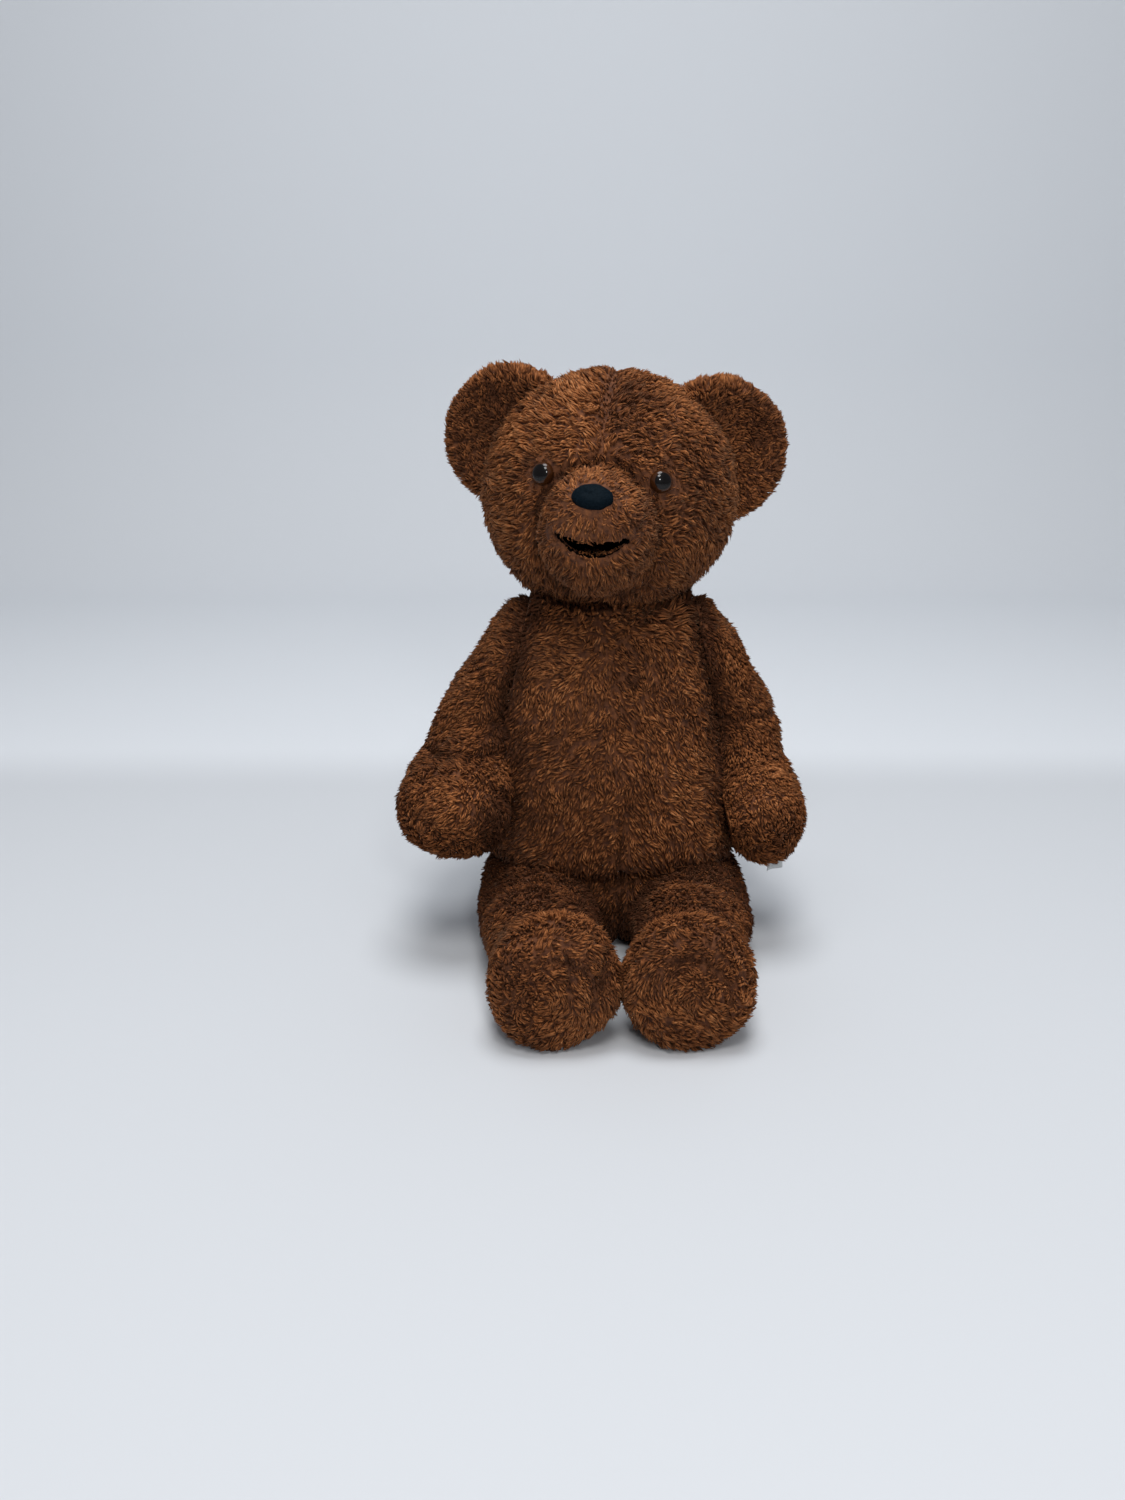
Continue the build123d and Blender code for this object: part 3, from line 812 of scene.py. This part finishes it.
def torso_comb(points, outward):
    """The nap runs down the torso and out to its sides, with painted shade along the seam, beside the arms,
    under the chin and in the belly's fold, and painted light on the belly.
    """
    _, y, z = points.T
    off_seam = off_centre_seam(points)
    nap = np.column_stack([0.45 * np.sign(off_seam), np.full(len(points), -0.1), np.full(len(points), -1.0)])
    front = fade(-y, 5 * MM, 25 * MM)
    seam = ridge(off_seam, 2.0 * MM) * front * fade(-z, -85 * MM, -62 * MM)
    near_arm = np.zeros(len(points))
    for (origin, out), spread in zip(TORSO_PLANES[1:], ARM_SHADE_SPREADS):
        width = 6 * MM + spread * fade(-z, -122 * MM, -95 * MM)
        near_arm = np.maximum(near_arm, ridge((points - origin) @ out, width))
    under_chin = ridge((points - NECK_PLACE) @ NECK_UP, 9 * MM)
    fold = fade(-z, -UNDER_BELLY - 9 * MM, -UNDER_BELLY - 1 * MM)
    length = 1.0 - 0.4 * seam - 0.1 * near_arm + 0.8 * under_chin
    # Painted shade along the seam's groove, beside the arms, under the chin and in the belly's fold.
    bright = 0.17 - 0.9 * seam - 2.3 * near_arm - 0.7 * under_chin - 1.0 * fold
    # Painted light on the belly.
    bright = bright + 0.25 * ridge(z - 80 * MM, 22 * MM) * front
    return nap, length, 0.45 + 0.4 * under_chin, bright


def torso_density(points, outward):
    """Thin pile on the joint faces and under the belly, where the limbs pass."""
    keep = np.ones(len(points))
    for origin, out in TORSO_PLANES:
        facing = (outward @ out > 0.75) & ((points - origin) @ out > -FACE_THICKNESS)
        keep[facing] = 0.55
    x, _, z = points.T
    core = (z < UNDER_BELLY - 1.5 * MM) & (np.abs(x) > 21 * MM)
    beneath = (outward[:, 2] < -0.8) & (np.abs(z - UNDER_BELLY) < 4 * MM)
    keep[core | beneath] = 0.5
    keep[(outward[:, 2] < -0.9) & (z < 3 * MM)] = 0.1
    return keep


def torso_limit(points):
    """Keeps the torso's fur off the head, the arms and the thighs, but for a fringe at each joint."""
    above = (points - NECK_PLACE) @ NECK_UP - neck_fringe(points)
    points = points - np.maximum(above, 0)[:, None] * NECK_UP
    for origin, out in TORSO_PLANES[1:]:
        points = hold_behind(points, origin, out, -FUR_CROSSING)
    x, z = points[:, 0], points[:, 2]
    core = (z < UNDER_BELLY) & (np.abs(x) < 40 * MM)
    points[:, 0] = np.where(core, np.clip(x, -CORE_HALF_WIDTH, CORE_HALF_WIDTH), x)
    return points


def torso_sewn(points):
    """The underside, the front's seam and the joint faces, which the torso's filling doesn't push out."""
    held = (points[:, 2] < UNDER_BELLY + 3 * MM) | (np.abs(off_centre_seam(points)) < 2.5 * MM)
    for origin, out in TORSO_PLANES:
        held |= (points - origin) @ out > -3 * MM
    return held


def make_torso():
    """The torso in one cover, flat where the head and the arms turn on it."""
    skin = ("torso_skin", "torso_stuffing")
    plugs = [(origin, -out) for origin, out in TORSO_PLANES]
    plugs += [(HIPS[side], (-sign, 0, 0)) for side, sign in SIDES.items()]
    discs = ("neck_body_disc",)
    discs += tuple(f"{side}_{place}_body_disc" for place in ("shoulder", "hip") for side in SIDES)
    piece = cover("torso_plush", skin + discs, plugs)
    stuff(piece, torso_sewn)
    sculpt(piece, torso_height)
    points = places(piece.data)
    for origin, out in TORSO_PLANES:
        points = hold_behind(points, origin, out, FACE_GAP)
    points[:, 2] = np.maximum(points[:, 2], corners_of("torso_skin")[0][2])
    put(piece.data, points)
    pile = grow_pile(piece, TORSO_TUFTS, torso_comb, torso_density, torso_limit, seed=51)
    dress(piece, pile, "torso", skin)


# ---------------------------------------------------------------- arms


def make_arm(side):
    """An arm bent forward at the elbow, its paw curled in."""
    sign = SIDES[side]
    looks = ARM_LOOKS[side]
    skin = (f"{side}_arm_skin", f"{side}_arm_stuffing")
    origin, out = TORSO_PLANES[1 if side == "left" else 2]
    piece = cover(f"{side}_arm_plush", skin + (f"{side}_shoulder_limb_disc",), [(origin, out)])
    low, _ = corners_of(f"{side}_arm_skin")
    points = places(piece.data)
    paw = points[points[:, 1] < low[1] + 14 * MM].mean(axis=0)
    elbow = points[points[:, 2] < low[2] + 8 * MM].mean(axis=0)
    elbow = elbow + np.array([0, 0, 12 * MM])
    upper, fore = unit(elbow - origin), unit(paw - elbow)
    crook = unit(fore - upper)
    most_crossing = looks["hug"] + looks["wider"] * 20 * MM

    def curled(points):
        """How much of the curl of the forearm towards the belly reaches these points."""
        return fade(-points[:, 2], -124 * MM, -86 * MM)

    def crossing(points):
        """How far the paw may rest over the belly in front of the joint's plane."""
        return most_crossing * curled(points) * fade(-points[:, 1], 8 * MM, 34 * MM)

    def held(points, gap):
        """Keeps points gap outside the joint's plane, but for the paw that rests over the belly."""
        ahead = (points - origin) @ -out + gap - crossing(points)
        return points + np.maximum(ahead, 0)[:, None] * out

    def forearm_fold(points):
        """The crease where the right arm's curled forearm leaves the upper arm."""
        along = fade(-points[:, 1], 12 * MM, 28 * MM)
        return looks["wrist"] * ridge(points[:, 2] - WRIST_HEIGHT, 2.6 * MM) * along

    def elbow_fold(points, outward, width):
        """The fold inside the elbow."""
        return ridge((points - elbow) @ unit(upper + fore), width) * fade(outward @ crook, 0.0, 0.7)

    def dart_line(points, width):
        """The dart sewn across the outer side."""
        return ridge(points[:, 2] - DART_HEIGHT, width) * fade(-points[:, 1], -4 * MM, 6 * MM)

    def height(points, outward):
        """The folds, the dart and a full paw, over a lumpy filling."""
        fold = elbow_fold(points, outward, 3.2 * MM)
        dart = dart_line(points, 1.6 * MM) * looks["dart_depth"]
        full = ridge(np.linalg.norm(points - paw, axis=1), 24 * MM)
        sunk = 3.0 * MM * forearm_fold(points) + looks["fold_depth"] * fold + 1.0 * MM * dart
        return looks["plump"] * full - sunk + 0.8 * MM * lumps(points, 26 * MM, 7 + sign)

    def comb(points, outward):
        """The nap runs down the upper arm and out along the forearm, with painted shade in the folds, the dart
        and beside the joint, and a painted highlight on the forearm's top.
        """
        share = fade((points - elbow) @ fore, -10 * MM, 12 * MM)[:, None]
        nap = upper * (1 - share) + fore * share + np.array([0.35 * sign, 0, -0.25])
        fold = elbow_fold(points, outward, 3.0 * MM)
        dart = dart_line(points, 1.7 * MM) * looks["dart_shade"]
        inner = ridge((points - origin) @ out, 6 * MM) * (1 - curled(points))
        length = 1.0 - 0.3 * fold - 0.4 * dart - 0.2 * inner
        # Painted shade in the elbow and wrist folds, along the dart's groove and beside the joint's plane.
        bright = looks["tone"] - 0.8 * fold - 0.8 * dart - 2.1 * inner - 1.3 * forearm_fold(points)
        # Painted highlight on the right forearm's top, and painted shade at the paw's inner end against the
        # belly.
        lit_forearm_top = ridge(points[:, 2] - 92 * MM, 7 * MM) * fade(-points[:, 1], 20 * MM, 35 * MM)
        inner_end = fade((points[:, 0] - paw[0]) * -sign, 12 * MM, 22 * MM) * curled(points)
        shaded = inner_end * fade(-points[:, 2], -96 * MM, -82 * MM)
        bright = bright + looks["wrist"] * (0.45 * lit_forearm_top - 1.6 * shaded)
        if side == "left":
            # Painted highlight on the left forearm's top, where the pile is also shorter.
            short_pile_highlight = ridge(np.linalg.norm(points - (elbow + crook * 20 * MM), axis=1), 9 * MM)
            bright = bright + 1.1 * short_pile_highlight
            length = length * (1 - 0.4 * short_pile_highlight)
        return nap, length, np.full(len(points), 0.52), bright

    def density(points, outward):
        """Thin pile on the joint's flat face."""
        crossed = crossing(points)
        facing = (outward @ -out > 0.75) & ((points - origin) @ out < FACE_THICKNESS - crossed)
        return np.where(facing & (crossed < 0.5 * MM), 0.55, 1.0)

    def limit(points):
        """Lets the fur cross the joint's plane a little further than its cover."""
        return held(points, -FUR_CROSSING)

    def sewn(points):
        """The joint's face, which the arm's filling doesn't push out."""
        return (points - origin) @ out < 4 * MM

    stuff(piece, sewn, cap=1.6 * MM)
    sculpt(piece, height)
    points = places(piece.data)
    points[:, 0] += (looks["wider"] * (points[:, 0] - paw[0]) - sign * looks["hug"]) * curled(points)
    put(piece.data, held(points, FACE_GAP))
    pile = grow_pile(piece, ARM_TUFTS, comb, density, limit, seed=61 + sign)
    dress(piece, pile, f"{side}_arm", skin)


# ---------------------------------------------------------------- legs


def make_leg(side):
    """A straight stuffed leg, with its round sole sewn in as a separate disc."""
    sign = SIDES[side]
    skin = (f"{side}_leg_skin", f"{side}_foot_sole", f"{side}_leg_stuffing")
    hip = HIPS[side]
    out = np.array([sign, 0.0, 0.0])
    piece = cover(f"{side}_leg_plush", skin + (f"{side}_hip_limb_disc",), [(hip, out)])
    sole_low, sole_high = corners_of(f"{side}_foot_sole")
    sole = (sole_low + sole_high) / 2
    half = (sole_high - sole_low)[0] / 2
    puckers = SOLE_PUCKERS if side == "right" else ()

    def on_sole(points):
        """Across and up from the sole's middle, and how far out that is as a share of its radius."""
        across, up = points[:, 0] - sole[0], points[:, 2] - sole[2]
        return across, up, np.hypot(across, up) / half

    def creases(points):
        """The seam round the sole, the arc inside it, and the right sole's two small puckers."""
        across, up, share = on_sole(points)
        behind = points[:, 1] - sole_high[1]
        rim = ridge(behind + 1.0 * MM, 1.8 * MM)
        front = fade(-behind, 2 * MM, 5 * MM)
        arc = ridge(share - 0.62, 0.07) * front * fade(across + up, 2 * MM, 12 * MM)
        slits = np.zeros(len(points))
        for left, above in puckers:
            slit = ridge(across - left, 1.7 * MM) * ridge(up - above, 6 * MM)
            slits = np.maximum(slits, slit * front)
        return rim, arc, slits

    def height(points, outward):
        """The sole's creases, and a lumpy filling."""
        rim, arc, slits = creases(points)
        sunk = 1.3 * MM * rim + 0.9 * MM * arc + 2.6 * MM * slits
        return 0.9 * MM * lumps(points, 30 * MM, 9 + sign) - sunk

    def comb(points, outward):
        """The nap runs along the leg and round the sole, with painted shade between the thighs, under the belly
        and in the sole's seam, arc and puckers, and darker over the thigh than at the foot.
        """
        across, up, _ = on_sole(points)
        behind = points[:, 1] - sole_high[1]
        front = fade(-behind, 0 * MM, 4 * MM)[:, None]
        round_sole = np.column_stack([-up * sign, 0 * up, across * sign]) + np.array([0, 0, -4 * MM])
        along = np.array([0.15 * sign, -1.0, -0.45])
        nap = unit(round_sole) * front + along * (1 - front)
        rim, arc, slits = creases(points)
        thigh = fade(points[:, 1], -116 * MM, -92 * MM)
        between = ridge(points[:, 0] - hip[0] * 0.3, 9 * MM) * thigh
        under = fade(points[:, 1], -66 * MM, -52 * MM)
        length = 1.0 - 0.35 * rim - 0.5 * arc - 0.7 * slits - 0.12 * front[:, 0] - 0.35 * between
        # Painted shade in the sole's seam, arc and puckers, between the thighs and under the belly; the thigh is
        # simply darker than the foot.
        bright = -0.15 - 0.55 * rim - 1.4 * arc - 4.0 * slits - 0.6 * thigh - 1.6 * between - 0.9 * under
        return nap, length, np.full(len(points), 0.52), bright

    def from_hip(points):
        """How far points are from the hip's axis."""
        return np.hypot(points[:, 1], points[:, 2] - hip[2])

    def density(points, outward):
        """Thin pile on the thigh's flat inner face, and hardly any on what it sits on."""
        facing = (outward @ -out > 0.8) & (from_hip(points) < THIGH_FACE + 1 * MM)
        keep = np.where(facing, 0.5, 1.0)
        keep[(outward[:, 2] < -0.9) & (points[:, 2] < 3 * MM)] = 0.15
        return keep

    def limit(points):
        """Keeps the thigh's fur from crossing its joint's plane by more than a little."""
        near = from_hip(points) < THIGH_FACE
        crossing = np.maximum((hip - points) @ out - 0.6 * MM, 0) * near
        return points + crossing[:, None] * out

    def sewn(points):
        """The thigh's inner face, which the leg's filling doesn't push out."""
        return (points - hip) @ out < 4 * MM

    stuff(piece, sewn, cap=1.5 * MM)
    sculpt(piece, height)
    points = places(piece.data)
    points[:, 2] = np.maximum(points[:, 2], 0.1 * MM)
    inner = (from_hip(points) < THIGH_FACE) & ((points - hip) @ out < FACE_GAP)
    points[inner, 0] = hip[0] + FACE_GAP * sign
    put(piece.data, points)
    pile = grow_pile(piece, LEG_TUFTS, comb, density, limit, seed=81 + sign)
    dress(piece, pile, f"{side}_leg", skin)


# ---------------------------------------------------------------- face, hardware and label


def finish_node(node, material):
    """Gives a CAD node that still shows its material."""
    for slot in frame["nodes"][node].material_slots:
        slot.link = "OBJECT"
        slot.material = material


def main_axis(node, which):
    """A CAD node's own axis by how its vertices spread: 0 where it is thinnest, 2 where it is longest."""
    points = places(frame["nodes"][node].data)
    return np.linalg.eigh(np.cov(points.T))[1][:, which]


def face_direction(node, place):
    """The way a flat node of the face looks: its thinnest direction, turned away from the skull."""
    facing = main_axis(node, 0)
    return facing * np.sign(facing @ (place - middle("head_skin")))


def domed(name, centre, facing, level, half_width, half_height, rise, profile, slots):
    """An oval dome: rings from the middle out, at shares of the radius and the rise, with a slot each."""
    across = unit(np.cross(facing, level))
    along = np.cross(across, facing)
    segments = 40
    vertices = [centre + facing * rise]
    for reach, height in profile:
        for step in range(segments):
            angle = math.tau * step / segments
            flat = across * half_width * math.cos(angle) + along * half_height * math.sin(angle)
            vertices.append(centre + flat * reach + facing * rise * height)
    faces = [(0, 1 + step, 1 + (step + 1) % segments) for step in range(segments)]
    used = [slots[0]] * segments
    for ring in range(len(profile) - 1):
        start = 1 + ring * segments
        for step in range(segments):
            after = (step + 1) % segments
            corners = (start + step, start + segments + step, start + segments + after, start + after)
            faces.append(corners)
            used.append(slots[ring + 1])
    mesh = bpy.data.meshes.new(name)
    mesh.from_pydata([tuple(v) for v in vertices], [], faces)
    mesh.polygons.foreach_set("material_index", used)
    mesh.update()
    mesh.shade_smooth()
    return add_object(name, mesh)


def dome_profile(rings, squareness, skirt):
    """Rings of a rounded dome, ending in a skirt that goes down into the cloth."""
    shares = [math.sin(math.pi / 2 * (k + 1) / rings) for k in range(rings)]
    profile = [(r, (1 - min(r, 1) ** squareness) ** (1 / squareness)) for r in shares]
    return profile + [(0.97, -skirt)]


def make_eye(side, pupil, iris):
    """A safety eye: a clear-coated dome, black in the middle with a thin amber ring."""
    lens = f"{side}_eye_lens"
    points = places(frame["nodes"][lens].data) + HEAD_AXES[0] * SIDES[side] * EYE_OUTWARD
    facing = face_direction(lens, EYES[side])
    front = (points @ facing).max()
    line = points.mean(axis=0)
    centre = line + facing * (front - 3.2 * MM - line @ facing)
    profile = dome_profile(12, 2.1, 0.4)
    slots = [0 if reach < 0.76 else 1 for reach, _ in profile]
    half_sizes = (EYE_RADIUS, EYE_RADIUS, EYE_RISE)
    eye = domed(f"{side}_eye", centre, facing, HEAD_AXES[2], *half_sizes, profile, slots)
    for material in (pupil, iris):
        eye.data.materials.append(material)
    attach(eye, "head")
    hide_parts(lens, f"{side}_eye_pupil")


def make_nose():
    """A matt moulded nose: an oval dome with a slightly pebbled face."""
    dark, light = (0.002, 0.005, 0.008), (0.005, 0.010, 0.015)
    material = patterned("nose_matt", dark, light, 0.6, 1300, 0.12 * MM, Specular_IOR_Level=0.03)
    facing = face_direction("nose", NOSE)
    top = (places(frame["nodes"]["nose"].data) @ facing).max()
    centre = NOSE + facing * (top - 0.8 * MM - middle("nose") @ facing)
    profile = dome_profile(16, 2.3, 0.5)
    slots = [0] * len(profile)
    half_sizes = (NOSE_HALF_WIDTH, NOSE_HALF_HEIGHT, NOSE_RISE)
    nose = domed("nose_button", centre, facing, HEAD_AXES[1], *half_sizes, profile, slots)
    points, outward = places(nose.data), normals(nose.data)
    uneven = 0.16 * MM * lumps(points, 4 * MM, 91) + 0.06 * MM * lumps(points, 1.6 * MM, 92)
    put(nose.data, points + outward * uneven[:, None])
    nose.data.materials.append(material)
    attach(nose, "head")
    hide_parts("nose")


def make_face():
    """The eyes, the nose and the mouth's felt."""
    gloss = {"Specular_IOR_Level": 0.05, "Coat_Weight": 0.5, "Coat_Roughness": 0.02}
    pupil = principled("eye_pupil", (0.003, 0.002, 0.002), 0.3, **gloss)[0]
    iris = principled("eye_amber_ring", (0.045, 0.014, 0.004), 0.3, **gloss)[0]
    for side in SIDES:
        make_eye(side, pupil, iris)
    make_nose()
    dark, light = (0.001, 0.001, 0.001), (0.004, 0.003, 0.003)
    felt = patterned("mouth_felt", dark, light, 0.95, 1800, 0.5 * MM, Specular_IOR_Level=0.0)
    finish_node("mouth_lining", felt)


def make_hardware():
    """The joints' fibreboard discs, steel washers and cotter pins, and the eyes' washers."""
    dull, bare = (0.35, 0.35, 0.34), (0.55, 0.55, 0.54)
    steel = patterned("cotter_steel", dull, bare, 0.35, 700, 0.05 * MM, Metallic=1.0)
    board = patterned("pressed_fibreboard", (0.16, 0.10, 0.05), (0.30, 0.20, 0.11), 0.85, 500, 0.2 * MM)
    for node in frame["nodes"]:
        if node.endswith("_disc"):
            finish_node(node, board)
        if node.endswith(("_washer", "_pin")):
            finish_node(node, steel)


def make_label():
    """A little woven tape label that hangs from the arm's seam and has begun to curl."""
    material = patterned("woven_label", (0.50, 0.52, 0.52), (0.74, 0.75, 0.74), 0.8, 2500, 0.1 * MM)
    low, high = corners_of("care_label")
    centre = (low + high) / 2
    top, drop = high[2], high[2] - low[2] + LABEL_LONGER
    columns, rows = 9, 13
    vertices = []
    for row in range(rows):
        share = row / (rows - 1)
        for column in range(columns):
            side = column / (columns - 1) - 0.5
            curl = 0.9 * MM * math.sin(4 * side + 2.5 * share)
            x = centre[0] - 2 * MM + LABEL_ACROSS[0] * side - curl
            y = centre[1] + LABEL_ACROSS[1] * side + curl
            vertices.append((x, y, top - drop * share))
    faces = []
    for row in range(rows - 1):
        for column in range(columns - 1):
            corner = row * columns + column
            faces.append((corner, corner + 1, corner + columns + 1, corner + columns))
    mesh = bpy.data.meshes.new("label_tape")
    mesh.from_pydata(vertices, [], faces)
    mesh.materials.append(material)
    mesh.shade_smooth()
    label = add_object("label_tape", mesh)
    solid = label.modifiers.new("thickness", "SOLIDIFY")
    solid.thickness = LABEL_THICKNESS
    apply_modifiers(label)
    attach(label, "left_arm")
    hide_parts("care_label")


# ---------------------------------------------------------------- studio


def make_backdrop():
    """A pale paper sweep: floor, a soft bend and the wall, well behind the bear."""
    bend_start, radius, top = 0.9, 0.3, 2.2
    profile = [(-2.5, 0.0), (-0.5, 0.0), (0.5, 0.0)]
    steps = 24
    for step in range(steps + 1):
        angle = math.pi / 2 * step / steps
        profile.append((bend_start + radius * math.sin(angle), radius * (1 - math.cos(angle))))
    profile.append((bend_start + radius, top))
    vertices = [(x, y, z) for x in (-2.5, 2.5) for y, z in profile]
    count = len(profile)
    faces = [(i, i + count, i + count + 1, i + 1) for i in range(count - 1)]
    mesh = bpy.data.meshes.new("backdrop")
    mesh.from_pydata(vertices, [], faces)
    mesh.shade_smooth()
    backdrop = add_object("backdrop", mesh)
    mesh.materials.append(paper())


def paper():
    """Pale bluish paper, painted darker on the floor in front and lighter behind the break, standing in for how
    the light falls across the sweep.
    """
    material, shader = principled("paper", (0.6, 0.62, 0.65), 0.9)
    tree = material.node_tree
    coordinates = tree.nodes.new("ShaderNodeTexCoord")
    split = tree.nodes.new("ShaderNodeSeparateXYZ")
    depth = tree.nodes.new("ShaderNodeMapRange")
    # The step from PAPER_FRONT to PAPER_BACK is painted light and shade across the paper.
    depth.interpolation_type = "SMOOTHSTEP"
    depth.inputs["From Min"].default_value = PAPER_BREAK - 0.05
    depth.inputs["From Max"].default_value = PAPER_BREAK + 0.05
    ramp = tree.nodes.new("ShaderNodeValToRGB")
    ramp.color_ramp.elements[0].color = (*PAPER_FRONT, 1)
    ramp.color_ramp.elements[1].color = (*PAPER_BACK, 1)
    tree.links.new(coordinates.outputs["Object"], split.inputs["Vector"])
    tree.links.new(split.outputs["Y"], depth.inputs["Value"])
    tree.links.new(depth.outputs["Result"], ramp.inputs["Fac"])
    tree.links.new(ramp.outputs["Color"], shader.inputs["Base Color"])
    bump(material, shader, noise(material, 9, 6), 0.4 * MM, 0.5)
    return material


def add_light(name, place, target, size, power, colour):
    """A round soft lamp that looks at its target."""
    data = bpy.data.lights.new(name, "AREA")
    data.shape = "DISK"
    data.size = size
    data.energy = power
    data.color = colour
    lamp = add_object(name, data)
    lamp.location = place
    lamp.rotation_euler = (Vector(target) - Vector(place)).to_track_quat("-Z", "Y").to_euler()


def make_studio():
    """The paper, three soft lamps and a dim, even sky."""
    make_backdrop()
    add_light("key", (-0.05, -0.90, 1.35), (0, 0, 0.12), 0.5, 8.0, (1.0, 0.985, 0.965))
    add_light("top", (0.0, -0.15, 1.7), (0, 0, 0), 0.8, 14, (0.96, 0.98, 1.0))
    add_light("catchlight", (0.12, -1.0, 0.62), (0, 0, 0.2), 0.14, 2.0, (1.0, 1.0, 1.0))
    world = bpy.data.worlds.new("studio")
    world.use_nodes = True
    background = world.node_tree.nodes["Background"]
    background.inputs["Color"].default_value = (0.90, 0.94, 1.0, 1)
    background.inputs["Strength"].default_value = 0.25
    scene.world = world
    scene.view_settings.view_transform = "Standard"


def make_camera():
    """The camera, upright, in front of the bear and looking down at it."""
    data = bpy.data.cameras.new("camera")
    data.sensor_fit = "VERTICAL"
    data.angle_y = 2 * math.atan(CAMERA_HALF_HEIGHT)
    camera = add_object("camera", data)
    camera.location = CAMERA_PLACE
    camera.rotation_euler = (math.pi / 2 - CAMERA_DOWN, 0, 0)
    scene.camera = camera


make_head()
for side in SIDES:
    make_ear(side)
make_torso()
for side in SIDES:
    make_arm(side)
    make_leg(side)
make_face()
make_hardware()
make_label()
make_studio()
make_camera()

bpy.context.view_layer.update()
